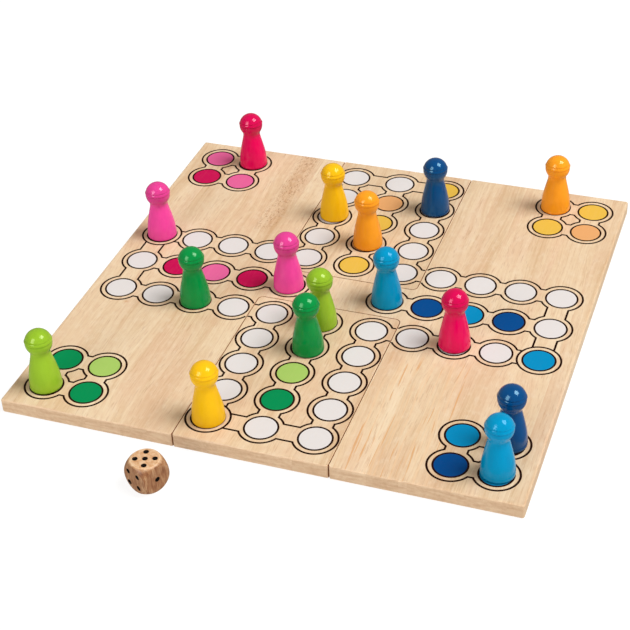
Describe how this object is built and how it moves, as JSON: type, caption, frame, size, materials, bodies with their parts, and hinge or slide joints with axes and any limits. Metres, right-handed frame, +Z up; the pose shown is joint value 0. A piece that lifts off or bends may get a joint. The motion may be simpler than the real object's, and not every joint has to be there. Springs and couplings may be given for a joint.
{
  "type": "wooden ludo board",
  "caption": "Square wooden ludo board cut into a main board and two lift-out arm panels, set up with turned, lacquered pawns and a rounded wooden die.",
  "frame": {"origin": "centre of the board's underside, in the middle of the crossbar", "axes": "+X to the right along the crossbar, +Y to the back arm, +Z up, out of the printed face"},
  "size_m": [0.5, 0.571, 0.0792],
  "materials": {
    "rubberwood": "pale rubberwood, fine sanded, clear satin lacquer, screen-printed fields",
    "dowel_wood": "raw beech",
    "die_wood": "oiled wood with black painted pips",
    "crimson_lacquer": "turned wood, gloss lacquer, crimson",
    "pink_lacquer": "turned wood, gloss lacquer, pink",
    "light_green_lacquer": "turned wood, gloss lacquer, light green",
    "dark_green_lacquer": "turned wood, gloss lacquer, dark green",
    "yellow_lacquer": "turned wood, gloss lacquer, yellow",
    "orange_lacquer": "turned wood, gloss lacquer, orange",
    "dark_blue_lacquer": "turned wood, gloss lacquer, dark blue",
    "light_blue_lacquer": "turned wood, gloss lacquer, light blue"
  },
  "bodies": {
    "board": {"main_board": "rubberwood", "dowel_front_left": "dowel_wood", "dowel_front_right": "dowel_wood", "dowel_back_left": "dowel_wood", "dowel_back_right": "dowel_wood"},
    "front_arm": {"front_arm_panel": "rubberwood"},
    "back_arm": {"back_arm_panel": "rubberwood"},
    "pawn_crimson_home": {"pawn_crimson_home": "crimson_lacquer"},
    "pawn_crimson_track": {"pawn_crimson_track": "crimson_lacquer"},
    "pawn_pink_start": {"pawn_pink_start": "pink_lacquer"},
    "pawn_pink_crossbar": {"pawn_pink_crossbar": "pink_lacquer"},
    "pawn_light_green_home": {"pawn_light_green_home": "light_green_lacquer"},
    "pawn_light_green_track": {"pawn_light_green_track": "light_green_lacquer"},
    "pawn_dark_green_track": {"pawn_dark_green_track": "dark_green_lacquer"},
    "pawn_dark_green_lane": {"pawn_dark_green_lane": "dark_green_lacquer"},
    "pawn_yellow_back": {"pawn_yellow_back": "yellow_lacquer"},
    "pawn_yellow_front": {"pawn_yellow_front": "yellow_lacquer"},
    "pawn_orange_lane": {"pawn_orange_lane": "orange_lacquer"},
    "pawn_orange_home": {"pawn_orange_home": "orange_lacquer"},
    "pawn_dark_blue_track": {"pawn_dark_blue_track": "dark_blue_lacquer"},
    "pawn_dark_blue_home": {"pawn_dark_blue_home": "dark_blue_lacquer"},
    "pawn_light_blue_crossbar": {"pawn_light_blue_crossbar": "light_blue_lacquer"},
    "pawn_light_blue_home": {"pawn_light_blue_home": "light_blue_lacquer"},
    "die": {"die": "die_wood"}
  },
  "joints": [
    {"name": "front_arm_lift", "type": "slide", "parent": "board", "child": "front_arm", "axis": [0, 0, 1], "range_m": [0, 0.06]},
    {"name": "back_arm_lift", "type": "slide", "parent": "board", "child": "back_arm", "axis": [0, 0, 1], "range_m": [0, 0.06]},
    {"name": "pawn_crimson_home_lift", "type": "slide", "parent": "board", "child": "pawn_crimson_home", "axis": [0, 0, 1], "range_m": [0, 0.08]},
    {"name": "pawn_crimson_track_lift", "type": "slide", "parent": "board", "child": "pawn_crimson_track", "axis": [0, 0, 1], "range_m": [0, 0.08]},
    {"name": "pawn_pink_start_lift", "type": "slide", "parent": "board", "child": "pawn_pink_start", "axis": [0, 0, 1], "range_m": [0, 0.08]},
    {"name": "pawn_pink_crossbar_lift", "type": "slide", "parent": "board", "child": "pawn_pink_crossbar", "axis": [0, 0, 1], "range_m": [0, 0.08]},
    {"name": "pawn_light_green_home_lift", "type": "slide", "parent": "board", "child": "pawn_light_green_home", "axis": [0, 0, 1], "range_m": [0, 0.08]},
    {"name": "pawn_light_green_track_lift", "type": "slide", "parent": "front_arm", "child": "pawn_light_green_track", "axis": [0, 0, 1], "range_m": [0, 0.08]},
    {"name": "pawn_dark_green_track_lift", "type": "slide", "parent": "board", "child": "pawn_dark_green_track", "axis": [0, 0, 1], "range_m": [0, 0.08]},
    {"name": "pawn_dark_green_lane_lift", "type": "slide", "parent": "front_arm", "child": "pawn_dark_green_lane", "axis": [0, 0, 1], "range_m": [0, 0.08]},
    {"name": "pawn_yellow_back_lift", "type": "slide", "parent": "back_arm", "child": "pawn_yellow_back", "axis": [0, 0, 1], "range_m": [0, 0.08]},
    {"name": "pawn_yellow_front_lift", "type": "slide", "parent": "front_arm", "child": "pawn_yellow_front", "axis": [0, 0, 1], "range_m": [0, 0.08]},
    {"name": "pawn_orange_lane_lift", "type": "slide", "parent": "back_arm", "child": "pawn_orange_lane", "axis": [0, 0, 1], "range_m": [0, 0.08]},
    {"name": "pawn_orange_home_lift", "type": "slide", "parent": "board", "child": "pawn_orange_home", "axis": [0, 0, 1], "range_m": [0, 0.08]},
    {"name": "pawn_dark_blue_track_lift", "type": "slide", "parent": "back_arm", "child": "pawn_dark_blue_track", "axis": [0, 0, 1], "range_m": [0, 0.08]},
    {"name": "pawn_dark_blue_home_lift", "type": "slide", "parent": "board", "child": "pawn_dark_blue_home", "axis": [0, 0, 1], "range_m": [0, 0.08]},
    {"name": "pawn_light_blue_crossbar_lift", "type": "slide", "parent": "board", "child": "pawn_light_blue_crossbar", "axis": [0, 0, 1], "range_m": [0, 0.08]},
    {"name": "pawn_light_blue_home_lift", "type": "slide", "parent": "board", "child": "pawn_light_blue_home", "axis": [0, 0, 1], "range_m": [0, 0.08]},
    {"name": "die_lift", "type": "slide", "parent": "board", "child": "die", "axis": [0, 0, 1], "range_m": [0, 0.06]}
  ]
}
